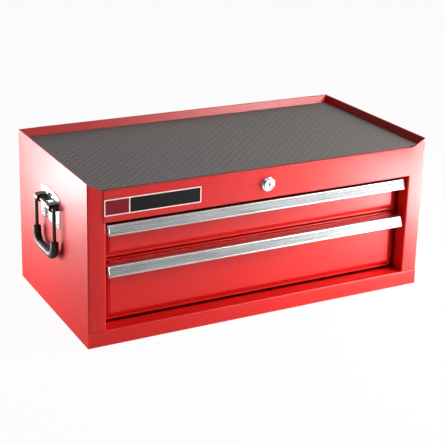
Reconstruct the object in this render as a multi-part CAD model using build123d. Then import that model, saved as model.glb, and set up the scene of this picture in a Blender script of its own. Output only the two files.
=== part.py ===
"""Two-drawer steel tool chest with a recessed top, a central lock and side carrying handles.

Millimetres. X runs to the right as seen from the front, the drawers open towards -Y, Z is up.
The pieces are laid out with x = 0 at mid width, y = 0 on the front faces of the stiles and z = 0
on the ground; at the end everything moves so that the origin is the bottom centre of the whole box.
"""
from build123d import *
from math import cos, radians, sin
import os

# ---------------------------------------------------------------- cabinet
WIDTH = 670.0  # over the two side panels
DEPTH = 345.0  # front of the stiles to back of the cabinet
HEIGHT = 292.0  # ground to top of the rims
SHEET = 1.2  # cabinet sheet steel
BEND = 1.8  # centre-line radius of the cabinet's folds
STILE_WIDTH = 32.0
STILE_RETURN = 30.0  # depth of the wall behind each stile's inner edge
STILE_EAR = 26.0  # width over which each stile's top slopes down
RAIL_HEIGHT = 29.0
RAIL_SHELF = 30.0  # depth of the rail's top face
RAIL_FOOT = 12.0  # depth of the rail's flange on the ground
SEAM = 0.4  # open seam between stile and rail, and around lapped sheet
REAR_FLANGE = 34.0  # width of the side panels' rear flanges
REAR_FLANGE_DROP = 1.0  # their tops lie this far below the rims
REAR_HEM = 14.0  # height of the folded hem along the top of the back
BOTTOM_FLANGE = 12.0  # upturned edges of the bottom panel
BOLT_SPACING_X = 500.0
BOLT_SPACING_Y = 220.0
BOLT_HOLE_R = 4.25
CUT = 1.0  # how far each cutting shape passes the sheet

# ---------------------------------------------------------------- top
RIM_HEIGHT = 15.0  # rims above the work surface
RIM_FOOT = 7.8  # foot of each sloped rim, in from the outside
MAT_THICKNESS = 1.8
MAT_GAP = 1.5  # between the mat's edges and the feet of the rims
MAT_FRONT = 4.0  # front edge of the mat behind the stiles' face

# ---------------------------------------------------------------- fascia and lock
FASCIA_HEIGHT = 55.5
FASCIA_LAP = 3.0  # its face laps this far over each stile
FASCIA_FLANGE = 12.0
FASCIA_CORNER = 4.0
BADGE_WIDTH = 176.0
BADGE_HEIGHT = 28.5
BADGE_RISE = 11.9  # badge above the fascia's lower edge
BADGE_THICKNESS = 0.6
BADGE_CORNER = 0.8
LOCK_DROP = 29.0  # lock's axis below the work surface
LOCK_FLANGE_R = 12.75
LOCK_FLANGE = 1.6
LOCK_COLLAR_R = 10.0
LOCK_COLLAR = 4.2
LOCK_COLLAR_EDGE = 0.8
LOCK_SHANK_R = 9.0
LOCK_SHANK = 22.0
LOCK_FIT = 0.08  # radial clearance of everything that turns in the lock
PLUG_R = 7.0
PLUG_RECESS = 0.4  # plug face behind the collar's edge
KEYHOLE_R = 2.1
KEYHOLE_SLOT = 1.6
KEYHOLE_DEPTH = 14.0
NUT_R = 12.5
NUT_THICKNESS = 5.0

# ---------------------------------------------------------------- lock rod and locking bar
ROD_R = 3.0
CRANK_R = 8.5  # from the rod's axis to the crank pin
CRANK_START = -45.0  # degrees above the horizontal, unlocked
CRANK_TURN = 90.0  # degrees from unlocked to locked
CRANK_THICKNESS = 2.5
PIN_R = 2.5
CRANK_RIM = 1.0  # crank plate round the rod and round the pin
PIN_PLAY = 0.7  # between the crank pin and its slot
BAR_WIDTH = 30.0
BAR_THICKNESS = 3.0
BAR_PLAY = 0.4  # between the locking bar and its guides
BAR_RISE = 14.0  # top of the bar above the lock's axis
BAR_END = 4.0  # bar below its lowest hook
GUIDE_HEIGHT = 14.0
GUIDE_FOOT = 12.0
GUIDE_DROP_HIGH = 48.0  # upper guide below the lock's axis
GUIDE_DROP_LOW = 34.5  # lower guide below the upper drawer
HOOK_WIDTH = 12.0
HOOK_THICKNESS = 2.5
HOOK_PLAY = 0.8  # between a hook and its catch, locked
CATCH_WIDTH = 24.0
CATCH_DEPTH = 11.0
CATCH_LIP = 8.0
CATCH_FLANGE = 12.0
CATCH_RISE = 18.0  # catch plate above the drawer's bottom
CATCH_BEND = 0.72  # centre-line radius of its folds
BRACKET_WIDTH = 24.0
BRACKET_SETBACK = 12.0  # rod bracket in front of the crank

# ---------------------------------------------------------------- drawers
DRAWER_SHEET = 1.0
DRAWER_GAP = 4.0  # between a drawer front and the stiles
UPPER_HEIGHT = 71.0
FRONT_GAP_TOP = 4.0  # upper drawer front below the fascia
FRONT_GAP_MID = 3.0  # between the two drawer fronts
FRONT_GAP_LOW = 3.5  # lower drawer front above the rail
FACE_RECESS = 25.0  # flat face behind the stiles' face
BEVEL_DEPTH = 6.0  # rim behind the flat face
BEVEL_RUN = 9.0  # width of the bevel, seen from the front
FACE_LIP = 4.5  # flat rim outside the bevel
FRONT_RETURN = 12.0  # folded edges of the drawer front
TRAY_SETBACK = 20.6  # drawer tray in front of the back panel
TRAY_DROP = 12.0  # tray sides below the top of the front
TRAY_HEM = 5.0  # folded top edges of the tray

# ---------------------------------------------------------------- pulls
PULL_GAP = 5.75  # between a pull's ends and the stiles
PULL_CAP = 3.0  # thickness of each end cap
PULL_DROP = 3.5  # pull below the top of the front
PULL_TOP_Y = 7.7  # front edge of the pull's top, behind the stiles' face
PULL_LIP_Y = 2.2  # front of its lower lip
PULL_HEIGHT = 18.5
PULL_WALL = 1.8
PULL_BEAD_R = 1.6
PULL_FLANGE = 15.0
PULL_FOLD = 1.8  # centre-line radius of its corners
PULL_RIVETS = 5
PULL_RIVET_INSET = 14.0  # end rivets from the caps

# ---------------------------------------------------------------- ball slides
SLIDE_WIDTH = 12.7
SLIDE_HEIGHT = 35.0
SLIDE_OVERLAP = 73.2  # length still engaged with the drawer fully open
SLIDE_SHEET = 1.2
SLIDE_SETBACK = 3.0  # rails behind the folded edges of the drawer front
SLIDE_RISE = 32.0  # slide centre above the drawer's bottom
OUTER_FLANGE = 10.5
INNER_FLANGE = 9.2
RACE_LIP = 0.7
BALL_R = 2.4
BALL_PLAY = 0.25  # between a ball and each race
BALL_OFFSET = 6.6  # ball centre from the bracket's face
BALL_PITCH = 20.0
BALLS_IN_ROW = 4
CAGE_SHEET = 0.8
CAGE_HOLE_PLAY = 0.15
CAGE_WEB_GAP = 0.5  # cage to the outer rail
CAGE_FLANGE = 7.8
CAGE_MARGIN = 4.0  # cage beyond its end holes
UPRIGHT_WIDTH = 28.0
UPRIGHT_FOOT = 8.0
RIVET_R = 2.2
RIVET_FIT = 0.05
RIVET_HEAD_R = 4.0
RIVET_HEAD = 1.2
TRAY_RIVET_INSET = 14.0  # rivets of the moving rails from the tray's ends

# ---------------------------------------------------------------- side handles
HANDLE_DROP = 84.0  # pivot axis below the rims
HANDLE_AXIS_OUT = 11.0  # pivot axis outside the side panel
PLATE_THICKNESS = 1.5
PLATE_WIDTH = 92.0
PLATE_BELOW = 38.0  # plate below the pivot axis
PLATE_SHOULDER_RISE = 17.0  # its shoulders above the axis
PLATE_RISE = 23.0  # top of its arch above the axis
PLATE_CORNER = 6.0
PLATE_RIVET_X = 38.0
PLATE_RIVET_Z = 9.0  # lower rivets above the plate's bottom
PLATE_RIVET_PITCH = 40.0  # upper pair above the lower pair
PLATE_RIVET_TOP_X = 14.0
KNUCKLE_R = 7.0
KNUCKLE_WIDTH = 15.0
KNUCKLE_SPACING = 60.0
BAIL_R = 3.3
BAIL_FIT = 0.1
BAIL_WIDTH = 90.0  # between the centre lines of its legs
BAIL_DROP = 88.0  # pivot axis to the grip's axis
BAIL_CORNER = 20.0
GRIP_R = 7.5
GRIP_RISE = 30.0  # grip sleeve above its own axis, up the legs

# ---------------------------------------------------------------- worked-out places
HALF = WIDTH / 2
OPENING = HALF - STILE_WIDTH  # half the clear width between the stiles
FLOOR_Z = HEIGHT - RIM_HEIGHT  # work surface under the mat
FASCIA_BOTTOM = FLOOR_Z - FASCIA_HEIGHT
LOCK_Z = FLOOR_Z - LOCK_DROP
UPPER_TOP = FASCIA_BOTTOM - FRONT_GAP_TOP
UPPER_BOTTOM = UPPER_TOP - UPPER_HEIGHT
LOWER_TOP = UPPER_BOTTOM - FRONT_GAP_MID
LOWER_BOTTOM = RAIL_HEIGHT + FRONT_GAP_LOW
DRAWERS = {"upper": (UPPER_BOTTOM, UPPER_TOP), "lower": (LOWER_BOTTOM, LOWER_TOP)}
GUIDE_LEVELS = (UPPER_BOTTOM - GUIDE_DROP_LOW, LOCK_Z - GUIDE_DROP_HIGH)
HANDLE_AXIS_Z = HEIGHT - HANDLE_DROP
PLATE_BOTTOM = HANDLE_AXIS_Z - PLATE_BELOW
BACK_IN = DEPTH - 2 * SHEET  # inner face of the back panel
LOCK_PROUD = SHEET + LOCK_FLANGE + LOCK_COLLAR
LIP_Y = FACE_RECESS + BEVEL_DEPTH
TRAY_FRONT = LIP_Y + FRONT_RETURN
TRAY_HALF = OPENING - SLIDE_WIDTH
RAIL_START = TRAY_FRONT + SLIDE_SETBACK
UPRIGHT_FRONT = RAIL_START
UPRIGHT_REAR = BACK_IN - SEAM - UPRIGHT_FOOT - UPRIGHT_WIDTH
SLIDE_LENGTH = UPRIGHT_REAR + UPRIGHT_WIDTH - RAIL_START
SLIDE_TRAVEL = SLIDE_LENGTH - SLIDE_OVERLAP
TRAY_REAR = BACK_IN - TRAY_SETBACK
BAR_Y = BACK_IN - BAR_PLAY - BAR_THICKNESS  # front face of the locking bar
BAR_X = -CRANK_R * (1 + cos(radians(CRANK_START))) / 2
BAR_TRAVEL = 2 * CRANK_R * sin(radians(CRANK_TURN / 2))
CRANK_Y = BAR_Y - HOOK_PLAY - CRANK_THICKNESS  # front face of the crank
PIN_START = (-CRANK_R * cos(radians(CRANK_START)), LOCK_Z + CRANK_R * sin(radians(CRANK_START)))
MID_DEPTH = DEPTH / 2
BODY_CENTRE = Pos(0, (LOCK_PROUD - DEPTH) / 2, 0)


# ---------------------------------------------------------------- small helpers
def block(x, y, z):
    """A box between pairs of limits."""
    size = [span[1] - span[0] for span in (x, y, z)]
    middle = [(span[1] + span[0]) / 2 for span in (x, y, z)]
    return Pos(*middle) * Box(*size)


def rod(start, direction, radius, length):
    """A round bar from start, along direction."""
    plane = Plane(origin=start, z_dir=direction)
    return plane * Cylinder(radius, length, align=(Align.CENTER, Align.CENTER, Align.MIN))


def folded(points, thickness, bend):
    """The section of a folded sheet along its centre line."""
    return trace(FilletPolyline(*points, radius=bend), thickness)


def along_x(section, x_from, x_to):
    """A solid from a section drawn in (y, z)."""
    return Pos(x_from, 0, 0) * extrude(Plane.YZ * section, amount=x_to - x_from)


def along_y(section, y_from, y_to):
    """A solid from a section drawn in (x, z)."""
    return Pos(0, y_to, 0) * extrude(Plane.XZ * section, amount=y_to - y_from)


def frustum(half_a, z_a, y_a, half_b, z_b, y_b):
    """A solid between two upright rectangles, z_a and z_b being their limits in height."""
    ends = []
    for half, z, y in ((half_a, z_a, y_a), (half_b, z_b, y_b)):
        centre = Plane.XZ.offset(-y) * Pos(0, (z[0] + z[1]) / 2)
        ends.append(centre * Rectangle(2 * half, z[1] - z[0]))
    return loft(ends)


def group(pieces):
    """Several like solids as one node."""
    return Compound(children=[solid for piece in pieces for solid in piece.solids()])


def mirrored(piece):
    """The same piece for the other side."""
    return mirror(piece, about=Plane.YZ)


# ---------------------------------------------------------------- cabinet
def side_panel():
    """The right side: stile with its inner wall, side wall and rear flange in one sheet."""
    mid = SHEET / 2
    points = [
        (OPENING + mid, STILE_RETURN),
        (OPENING + mid, mid),
        (HALF - mid, mid),
        (HALF - mid, DEPTH - mid),
        (HALF - REAR_FLANGE, DEPTH - mid),
    ]
    panel = extrude(folded(points, SHEET, BEND), amount=HEIGHT)
    outside = HALF + CUT
    panel -= block((OPENING - CUT, outside), (-CUT, SHEET), (-CUT, RAIL_HEIGHT + SEAM))
    panel -= block((OPENING - CUT, HALF - SHEET), (-CUT, STILE_RETURN + CUT), (-CUT, RAIL_HEIGHT + SEAM))
    above = Polyline((OPENING - CUT, FLOOR_Z), (HALF - STILE_EAR, FLOOR_Z), (HALF, HEIGHT),
                     (HALF, HEIGHT + CUT), (OPENING - CUT, HEIGHT + CUT), close=True)
    panel -= along_y(make_face(above), -CUT, BEND + SHEET)
    over_top = HEIGHT + CUT
    panel -= block((OPENING - CUT, HALF - SHEET), (SHEET, STILE_RETURN + CUT), (FLOOR_Z - SHEET, over_top))
    panel -= block((OPENING - CUT, HALF - SHEET), (DEPTH - SHEET, DEPTH + CUT),
                   (HEIGHT - REAR_FLANGE_DROP, over_top))
    for y, z in plate_rivet_places(MID_DEPTH):
        panel -= rod((HALF - SHEET - CUT, y, z), (1, 0, 0), RIVET_R + RIVET_FIT, SHEET + 2 * CUT)
    return panel


def back_panel():
    """The back, lapped inside the side panels' flanges, with a hem along its top edge."""
    half = HALF - SHEET - BEND
    sheet = block((-half, half), (BACK_IN, DEPTH - SHEET), (0, HEIGHT))
    hem_half = HALF - REAR_FLANGE - SEAM
    return sheet + block((-hem_half, hem_half), (DEPTH - SHEET, DEPTH), (HEIGHT - REAR_HEM, HEIGHT))


def bottom_panel():
    """The bottom, with upturned side and rear edges and four bolt holes."""
    half = HALF - SHEET
    front = STILE_RETURN + SEAM
    panel = block((-half, half), (RAIL_FOOT, BACK_IN), (0, SHEET))
    panel += block((-half, half), (BACK_IN - SHEET, BACK_IN), (0, BOTTOM_FLANGE))
    for side in (-1, 1):
        inner, outer = sorted((side * half, side * (half - SHEET)))
        panel += block((inner, outer), (front, BACK_IN), (0, BOTTOM_FLANGE))
        for end in (-1, 1):
            centre_y = (DEPTH - LOCK_PROUD) / 2 + end * BOLT_SPACING_Y / 2
            panel -= rod((side * BOLT_SPACING_X / 2, centre_y, -CUT), (0, 0, 1), BOLT_HOLE_R, SHEET + 2 * CUT)
    return panel


def bottom_rail():
    """The rail under the drawers, across the full width."""
    mid = SHEET / 2
    points = [(RAIL_FOOT, mid), (mid, mid), (mid, RAIL_HEIGHT - mid), (RAIL_SHELF, RAIL_HEIGHT - mid)]
    rail = along_x(folded(points, SHEET, BEND), -HALF, HALF)
    for side in (-1, 1):
        inner, outer = sorted((side * (HALF - SHEET), side * (HALF + CUT)))
        rail -= block((inner, outer), (SHEET, RAIL_SHELF + CUT), (-CUT, RAIL_HEIGHT + CUT))
    return rail


def fascia():
    """The fixed front above the drawers; its face laps over both stiles."""
    mid = SHEET / 2
    points = [
        (FASCIA_FLANGE, FASCIA_BOTTOM + mid),
        (-mid, FASCIA_BOTTOM + mid),
        (-mid, FLOOR_Z - mid),
        (FASCIA_FLANGE, FLOOR_Z - mid),
    ]
    half = OPENING + FASCIA_LAP
    panel = along_x(folded(points, SHEET, BEND), -half, half)
    for side in (-1, 1):
        inner, outer = sorted((side * (OPENING - SEAM), side * (half + CUT)))
        panel -= block((inner, outer), (0, FASCIA_FLANGE + CUT), (FASCIA_BOTTOM - CUT, FLOOR_Z + CUT))
    outline = Pos(0, (FASCIA_BOTTOM + FLOOR_Z) / 2) * Rectangle(2 * half, FLOOR_Z - FASCIA_BOTTOM)
    outline = fillet(outline.vertices().group_by(Axis.Y)[0], FASCIA_CORNER)
    panel &= along_y(outline, -SHEET - CUT, FASCIA_FLANGE + CUT)
    return panel - rod((0, -SHEET - CUT, LOCK_Z), (0, 1, 0), LOCK_SHANK_R + LOCK_FIT, SHEET + 2 * CUT)


def top_tray():
    """The work surface with a sloped rim on three sides."""
    top = HEIGHT + CUT
    slope = (RIM_FOOT - 2 * SHEET) / RIM_HEIGHT
    rise = top - FLOOR_Z

    def well(clearance, floor):
        """The hollow above the floor, widened by a clearance and open to the front."""
        foot = RIM_FOOT - clearance
        mouth = foot - slope * (top - floor)
        ends = []
        for inset, z in ((foot, floor), (mouth, top)):
            rear = DEPTH - SHEET - inset
            shape = Pos(0, (rear - DEPTH) / 2) * Rectangle(2 * (HALF - inset), rear + DEPTH)
            ends.append(Plane.XY.offset(z) * shape)
        return loft(ends)

    tray = well(SHEET, FLOOR_Z - SHEET) - well(0, FLOOR_Z)
    tray -= block((-WIDTH, WIDTH), (-2 * DEPTH, SHEET), (0, top + rise))
    tray -= block((-WIDTH, WIDTH), (-DEPTH, FASCIA_FLANGE), (0, FLOOR_Z))
    tray -= block((-WIDTH, WIDTH), (-DEPTH, 2 * DEPTH), (HEIGHT, top + rise))
    tray -= block((-WIDTH, WIDTH), (BACK_IN, 2 * DEPTH), (0, top + rise))
    for side in (-1, 1):
        inner, outer = sorted((side * (HALF - SHEET), side * WIDTH))
        tray -= block((inner, outer), (-DEPTH, 2 * DEPTH), (0, top + rise))
    return tray


def top_mat():
    """The rubber mat that fills the tray."""
    half = HALF - RIM_FOOT - MAT_GAP
    rear = DEPTH - SHEET - RIM_FOOT - MAT_GAP
    return block((-half, half), (MAT_FRONT, rear), (FLOOR_Z, FLOOR_Z + MAT_THICKNESS))


def badge_plate():
    """A plain plate at the left end of the fascia, where a badge would sit."""
    outline = RectangleRounded(BADGE_WIDTH, BADGE_HEIGHT, BADGE_CORNER)
    left = -OPENING - FASCIA_LAP
    outline = Pos(left + BADGE_WIDTH / 2, FASCIA_BOTTOM + BADGE_RISE + BADGE_HEIGHT / 2) * outline
    return along_y(outline, -SHEET - BADGE_THICKNESS, -SHEET)


def slide_upright(y_from, top):
    """A hat-section upright on the right side wall that carries the slides."""
    mid = SHEET / 2
    wall = HALF - SHEET - mid
    face = OPENING + mid
    front = y_from + mid
    rear = y_from + UPRIGHT_WIDTH - mid
    points = [
        (wall, front - UPRIGHT_FOOT),
        (wall, front),
        (face, front),
        (face, rear),
        (wall, rear),
        (wall, rear + UPRIGHT_FOOT),
    ]
    upright = Pos(0, 0, BOTTOM_FLANGE) * extrude(folded(points, SHEET, BEND), amount=top - BOTTOM_FLANGE)
    for bottom, _ in DRAWERS.values():
        centre = (OPENING - CUT, y_from + UPRIGHT_WIDTH / 2, bottom + SLIDE_RISE)
        upright -= rod(centre, (1, 0, 0), RIVET_R + RIVET_FIT, SHEET + 2 * CUT)
    return upright


# ---------------------------------------------------------------- lock
def lock_bezel():
    """The lock's fixed housing: flange and collar in front, threaded shank behind."""
    bezel = rod((0, -SHEET - LOCK_FLANGE, LOCK_Z), (0, 1, 0), LOCK_FLANGE_R, LOCK_FLANGE)
    collar = rod((0, -LOCK_PROUD, LOCK_Z), (0, 1, 0), LOCK_COLLAR_R, LOCK_COLLAR)
    bezel += chamfer(collar.edges().group_by(Axis.Y)[0], LOCK_COLLAR_EDGE)
    bezel += rod((0, -SHEET, LOCK_Z), (0, 1, 0), LOCK_SHANK_R, LOCK_SHANK)
    bore = rod((0, -LOCK_PROUD - CUT, LOCK_Z), (0, 1, 0), PLUG_R + LOCK_FIT, LOCK_SHANK + LOCK_PROUD + CUT)
    return bezel - bore


def lock_nut():
    """The nut that clamps the lock behind the fascia."""
    outline = Pos(0, LOCK_Z) * (RegularPolygon(NUT_R, 6) - Circle(LOCK_SHANK_R + LOCK_FIT))
    return along_y(outline, 0, NUT_THICKNESS)


def lock_plug():
    """The part that the key turns, with a teardrop keyhole."""
    front = -LOCK_PROUD + PLUG_RECESS
    plug = rod((0, front, LOCK_Z), (0, 1, 0), PLUG_R, LOCK_SHANK - SHEET - front)
    keyhole = Circle(KEYHOLE_R) + Pos(0, 1.5 * KEYHOLE_R) * Rectangle(KEYHOLE_SLOT, 3 * KEYHOLE_R)
    return plug - along_y(Pos(0, LOCK_Z) * keyhole, front - CUT, front + KEYHOLE_DEPTH)


def lock_rod():
    """The rod from the plug to the back of the cabinet."""
    start = LOCK_SHANK - SHEET
    return rod((0, start, LOCK_Z), (0, 1, 0), ROD_R, CRANK_Y - start)


def lock_crank():
    """The crank at the rod's end, whose pin lifts the locking bar."""
    x, z = PIN_START
    ends = Pos(0, LOCK_Z) * Circle(ROD_R + CRANK_RIM) + Pos(x, z) * Circle(PIN_R + CRANK_RIM)
    arm = make_hull(ends.edges())
    crank = along_y(arm, CRANK_Y, CRANK_Y + CRANK_THICKNESS)
    return crank + rod((x, CRANK_Y, z), (0, 1, 0), PIN_R, BAR_Y + BAR_THICKNESS - CRANK_Y)


def rod_bracket():
    """The bearing that carries the rod's rear end, hung under the tray."""
    mid = SHEET / 2
    front = CRANK_Y - BRACKET_SETBACK
    low = LOCK_Z - 2 * ROD_R
    high = FLOOR_Z - SHEET - mid
    points = [(front + mid, low), (front + mid, high), (front - BRACKET_SETBACK, high)]
    bracket = along_x(folded(points, SHEET, BEND), -BRACKET_WIDTH / 2, BRACKET_WIDTH / 2)
    return bracket - rod((0, front - CUT, LOCK_Z), (0, 1, 0), ROD_R + LOCK_FIT, SHEET + 2 * CUT)


def catch_level(bottom):
    """The height of a drawer's catch plate."""
    return bottom + CATCH_RISE


def lock_bar():
    """The upright bar behind the drawers, with the crank's slot."""
    lowest = min(hook_arm_top(bottom) for bottom, _ in DRAWERS.values()) - HOOK_THICKNESS
    bar = block((BAR_X - BAR_WIDTH / 2, BAR_X + BAR_WIDTH / 2), (BAR_Y, BAR_Y + BAR_THICKNESS),
                (lowest - BAR_END, LOCK_Z + BAR_RISE))
    reach = PIN_R + PIN_PLAY
    x, z = PIN_START
    return bar - block((-CRANK_R - reach, x + reach), (BAR_Y - CUT, BACK_IN), (z - reach, z + reach))


def hook_arm_top(bottom):
    """The top of a hook's arm with the lock open."""
    return catch_level(bottom) - CATCH_LIP - HOOK_PLAY - BAR_TRAVEL


def lock_hook(bottom):
    """A hook that rises behind a drawer's catch when the bar is lifted."""
    arm_top = hook_arm_top(bottom)
    tooth_top = catch_level(bottom) - SHEET - HOOK_PLAY - BAR_TRAVEL
    tooth_rear = TRAY_REAR + CATCH_DEPTH - SHEET - HOOK_PLAY
    tooth_front = tooth_rear - HOOK_THICKNESS
    width = (BAR_X - HOOK_WIDTH / 2, BAR_X + HOOK_WIDTH / 2)
    arm = block(width, (tooth_front, BAR_Y), (arm_top - HOOK_THICKNESS, arm_top))
    return arm + block(width, (tooth_front, tooth_rear), (arm_top, tooth_top))


def lock_bar_guide(level):
    """A strap on the back panel that guides the bar."""
    mid = SHEET / 2
    half = BAR_WIDTH / 2 + BAR_PLAY + mid
    wall = BACK_IN - mid
    front = BAR_Y - BAR_PLAY - mid
    points = [
        (BAR_X - half - GUIDE_FOOT, wall),
        (BAR_X - half, wall),
        (BAR_X - half, front),
        (BAR_X + half, front),
        (BAR_X + half, wall),
        (BAR_X + half + GUIDE_FOOT, wall),
    ]
    strap = extrude(folded(points, SHEET, SHEET), amount=GUIDE_HEIGHT)
    return Pos(0, 0, level) * strap


# ---------------------------------------------------------------- drawers
def pull_rivet_places():
    """The x of each rivet that holds a pull."""
    reach = OPENING - PULL_GAP - PULL_CAP - PULL_RIVET_INSET
    return [reach * (2 * i / (PULL_RIVETS - 1) - 1) for i in range(PULL_RIVETS)]


def pull_rivet_level(top):
    """The height of the rivets that hold a pull."""
    return top - PULL_DROP - PULL_WALL - PULL_FOLD - RIVET_HEAD_R


def drawer_front(bottom, top):
    """The pressed front: a flat face raised by a bevel from a flat rim with folded edges."""
    half = OPENING - DRAWER_GAP
    outer = block((-half, half), (LIP_Y, TRAY_FRONT), (bottom, top))
    inner = block((-half + SHEET, half - SHEET), (LIP_Y + SHEET, TRAY_FRONT), (bottom + SHEET, top - SHEET))
    face_inset = FACE_LIP + BEVEL_RUN

    def pressed(shift):
        """The raised block between rim and face, moved back by the sheet for its inside."""
        level = top - SHEET - shift
        rim = (bottom + FACE_LIP + shift, level)
        face = (bottom + face_inset + shift, level)
        return frustum(half - FACE_LIP - shift, rim, LIP_Y + shift,
                       half - face_inset - shift, face, FACE_RECESS + shift)

    front = outer + pressed(0) - inner - pressed(SHEET)
    for x in pull_rivet_places():
        start = (x, FACE_RECESS - CUT, pull_rivet_level(top))
        front -= rod(start, (0, 1, 0), RIVET_R + RIVET_FIT, SHEET + 2 * CUT)
    return front


def drawer_tray(bottom, top):
    """The drawer's box: floor, two sides, a back and an inner front."""
    side_top = top - TRAY_DROP
    tray = block((-TRAY_HALF, TRAY_HALF), (TRAY_FRONT, TRAY_REAR), (bottom, top))
    wall = DRAWER_SHEET
    inside = TRAY_HALF - wall
    tray -= block((-inside, inside), (TRAY_FRONT + wall, TRAY_REAR - wall), (bottom + wall, top + CUT))
    tray -= block((-HALF, HALF), (TRAY_FRONT + wall, DEPTH), (side_top, top + CUT))
    hem = (side_top - wall, side_top)
    for side in (-1, 1):
        inner, outer = sorted((side * TRAY_HALF, side * (TRAY_HALF - TRAY_HEM)))
        tray += block((inner, outer), (TRAY_FRONT, TRAY_REAR), hem)
        for y in tray_rivet_places():
            start = (side * (TRAY_HALF - wall - CUT), y, bottom + SLIDE_RISE)
            tray -= rod(start, (side, 0, 0), RIVET_R + RIVET_FIT, wall + 2 * CUT)
    return tray + block((-TRAY_HALF, TRAY_HALF), (TRAY_REAR - TRAY_HEM, TRAY_REAR), hem)


def drawer_catch(bottom):
    """The catch on the back of a drawer that the locking bar's hook holds."""
    mid = SHEET / 2
    level = catch_level(bottom)
    points = [
        (TRAY_REAR + mid, level + CATCH_FLANGE),
        (TRAY_REAR + mid, level - mid),
        (TRAY_REAR + CATCH_DEPTH - mid, level - mid),
        (TRAY_REAR + CATCH_DEPTH - mid, level - CATCH_LIP),
    ]
    return along_x(folded(points, SHEET, CATCH_BEND), BAR_X - CATCH_WIDTH / 2, BAR_X + CATCH_WIDTH / 2)


def pull_section(top):
    """The pull's section in (y, z): mounting flange, top wall, sloped front wall and lower bead."""
    high = top - PULL_DROP
    mid = PULL_WALL / 2
    bead = (PULL_LIP_Y + PULL_BEAD_R, high - PULL_HEIGHT + PULL_BEAD_R)
    points = [
        (FACE_RECESS - mid, high - PULL_FLANGE),
        (FACE_RECESS - mid, high - mid),
        (PULL_TOP_Y + mid, high - mid),
        bead,
    ]
    return folded(points, PULL_WALL, PULL_FOLD) + Pos(*bead) * Circle(PULL_BEAD_R)


def drawer_pull(top):
    """The aluminium pull across a drawer front."""
    half = OPENING - PULL_GAP - PULL_CAP
    pull = along_x(pull_section(top), -half, half)
    for x in pull_rivet_places():
        level = pull_rivet_level(top)
        start = (x, FACE_RECESS - PULL_WALL - CUT, level)
        pull -= rod(start, (0, 1, 0), RIVET_R + RIVET_FIT, PULL_WALL + 2 * CUT)
    return pull


def pull_caps(top):
    """The two caps that close the pull's ends."""
    high = top - PULL_DROP
    outline = Polyline(
        (FACE_RECESS, high),
        (FACE_RECESS, high - PULL_FLANGE),
        (PULL_LIP_Y, high - PULL_HEIGHT),
        (PULL_TOP_Y, high),
        close=True,
    )
    half = OPENING - PULL_GAP
    cap = along_x(make_face(outline), half - PULL_CAP, half)
    return group([cap, mirrored(cap)])


def pull_rivets(top):
    """The rivets through the pull's flange and the drawer front."""
    level = pull_rivet_level(top)
    rivets = []
    for x in pull_rivet_places():
        rivet = rod((x, FACE_RECESS - PULL_WALL, level), (0, 1, 0), RIVET_R, PULL_WALL + SHEET)
        for y in (FACE_RECESS - PULL_WALL - RIVET_HEAD, FACE_RECESS + SHEET):
            rivet += rod((x, y, level), (0, 1, 0), RIVET_HEAD_R, RIVET_HEAD)
        rivets.append(rivet)
    return group(rivets)


# ---------------------------------------------------------------- ball slides
def slide_rivet_places():
    """The y of the rivets that hold each rail."""
    return (UPRIGHT_FRONT + UPRIGHT_WIDTH / 2, UPRIGHT_REAR + UPRIGHT_WIDTH / 2)


def tray_rivet_places():
    """The y of the rivets that hold each moving rail to its tray."""
    return (TRAY_FRONT + TRAY_RIVET_INSET, TRAY_REAR - TRAY_RIVET_INSET)


def race_gap():
    """The height between the two races of one row of balls."""
    return 2 * (BALL_R + BALL_PLAY)


def inner_half():
    """Half the height of the inner rail."""
    return SLIDE_HEIGHT / 2 - SLIDE_SHEET - race_gap()


def channel(web, lip_inward, half, flange, direction):
    """A C section in (x, z) from its web's outer face, open along direction."""
    def reach(distance):
        return web + direction * distance

    def bar(x_from, x_to, z_from, z_to):
        x_low, x_high = sorted((reach(x_from), reach(x_to)))
        return Pos((x_low + x_high) / 2, (z_from + z_to) / 2) * Rectangle(x_high - x_low, z_to - z_from)

    section = bar(0, SLIDE_SHEET, -half, half)
    for side in (-1, 1):
        low, high = sorted((side * half, side * (half - SLIDE_SHEET)))
        section += bar(0, flange, low, high)
        edge = half - SLIDE_SHEET - RACE_LIP if lip_inward else half + RACE_LIP
        low, high = sorted((side * half, side * edge))
        section += bar(flange - SLIDE_SHEET, flange, low, high)
    return section


def outer_rail(bottom):
    """The right fixed rail, against the uprights."""
    section = channel(OPENING, True, SLIDE_HEIGHT / 2, OUTER_FLANGE, -1)
    rail = along_y(Pos(0, bottom + SLIDE_RISE) * section, RAIL_START, RAIL_START + SLIDE_LENGTH)
    for y in slide_rivet_places():
        start = (OPENING - SLIDE_SHEET - CUT, y, bottom + SLIDE_RISE)
        rail -= rod(start, (1, 0, 0), RIVET_R + RIVET_FIT, SLIDE_SHEET + 2 * CUT)
    return rail


def inner_rail(bottom):
    """The right moving rail, against the drawer's side."""
    section = channel(TRAY_HALF, False, inner_half(), INNER_FLANGE, 1)
    rail = along_y(Pos(0, bottom + SLIDE_RISE) * section, RAIL_START, RAIL_START + SLIDE_LENGTH)
    for y in tray_rivet_places():
        start = (TRAY_HALF - CUT, y, bottom + SLIDE_RISE)
        rail -= rod(start, (1, 0, 0), RIVET_R + RIVET_FIT, SLIDE_SHEET + 2 * CUT)
    return rail


def ball_places(bottom):
    """The centres of one slide's balls with the drawer closed."""
    start = RAIL_START + SLIDE_TRAVEL / 2 + CAGE_MARGIN + BALL_R
    level = inner_half() + race_gap() / 2
    x = OPENING - BALL_OFFSET
    rows = [(x, start + BALL_PITCH * i) for i in range(BALLS_IN_ROW)]
    return [(x, y, bottom + SLIDE_RISE + side * level) for side in (-1, 1) for x, y in rows]


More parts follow.
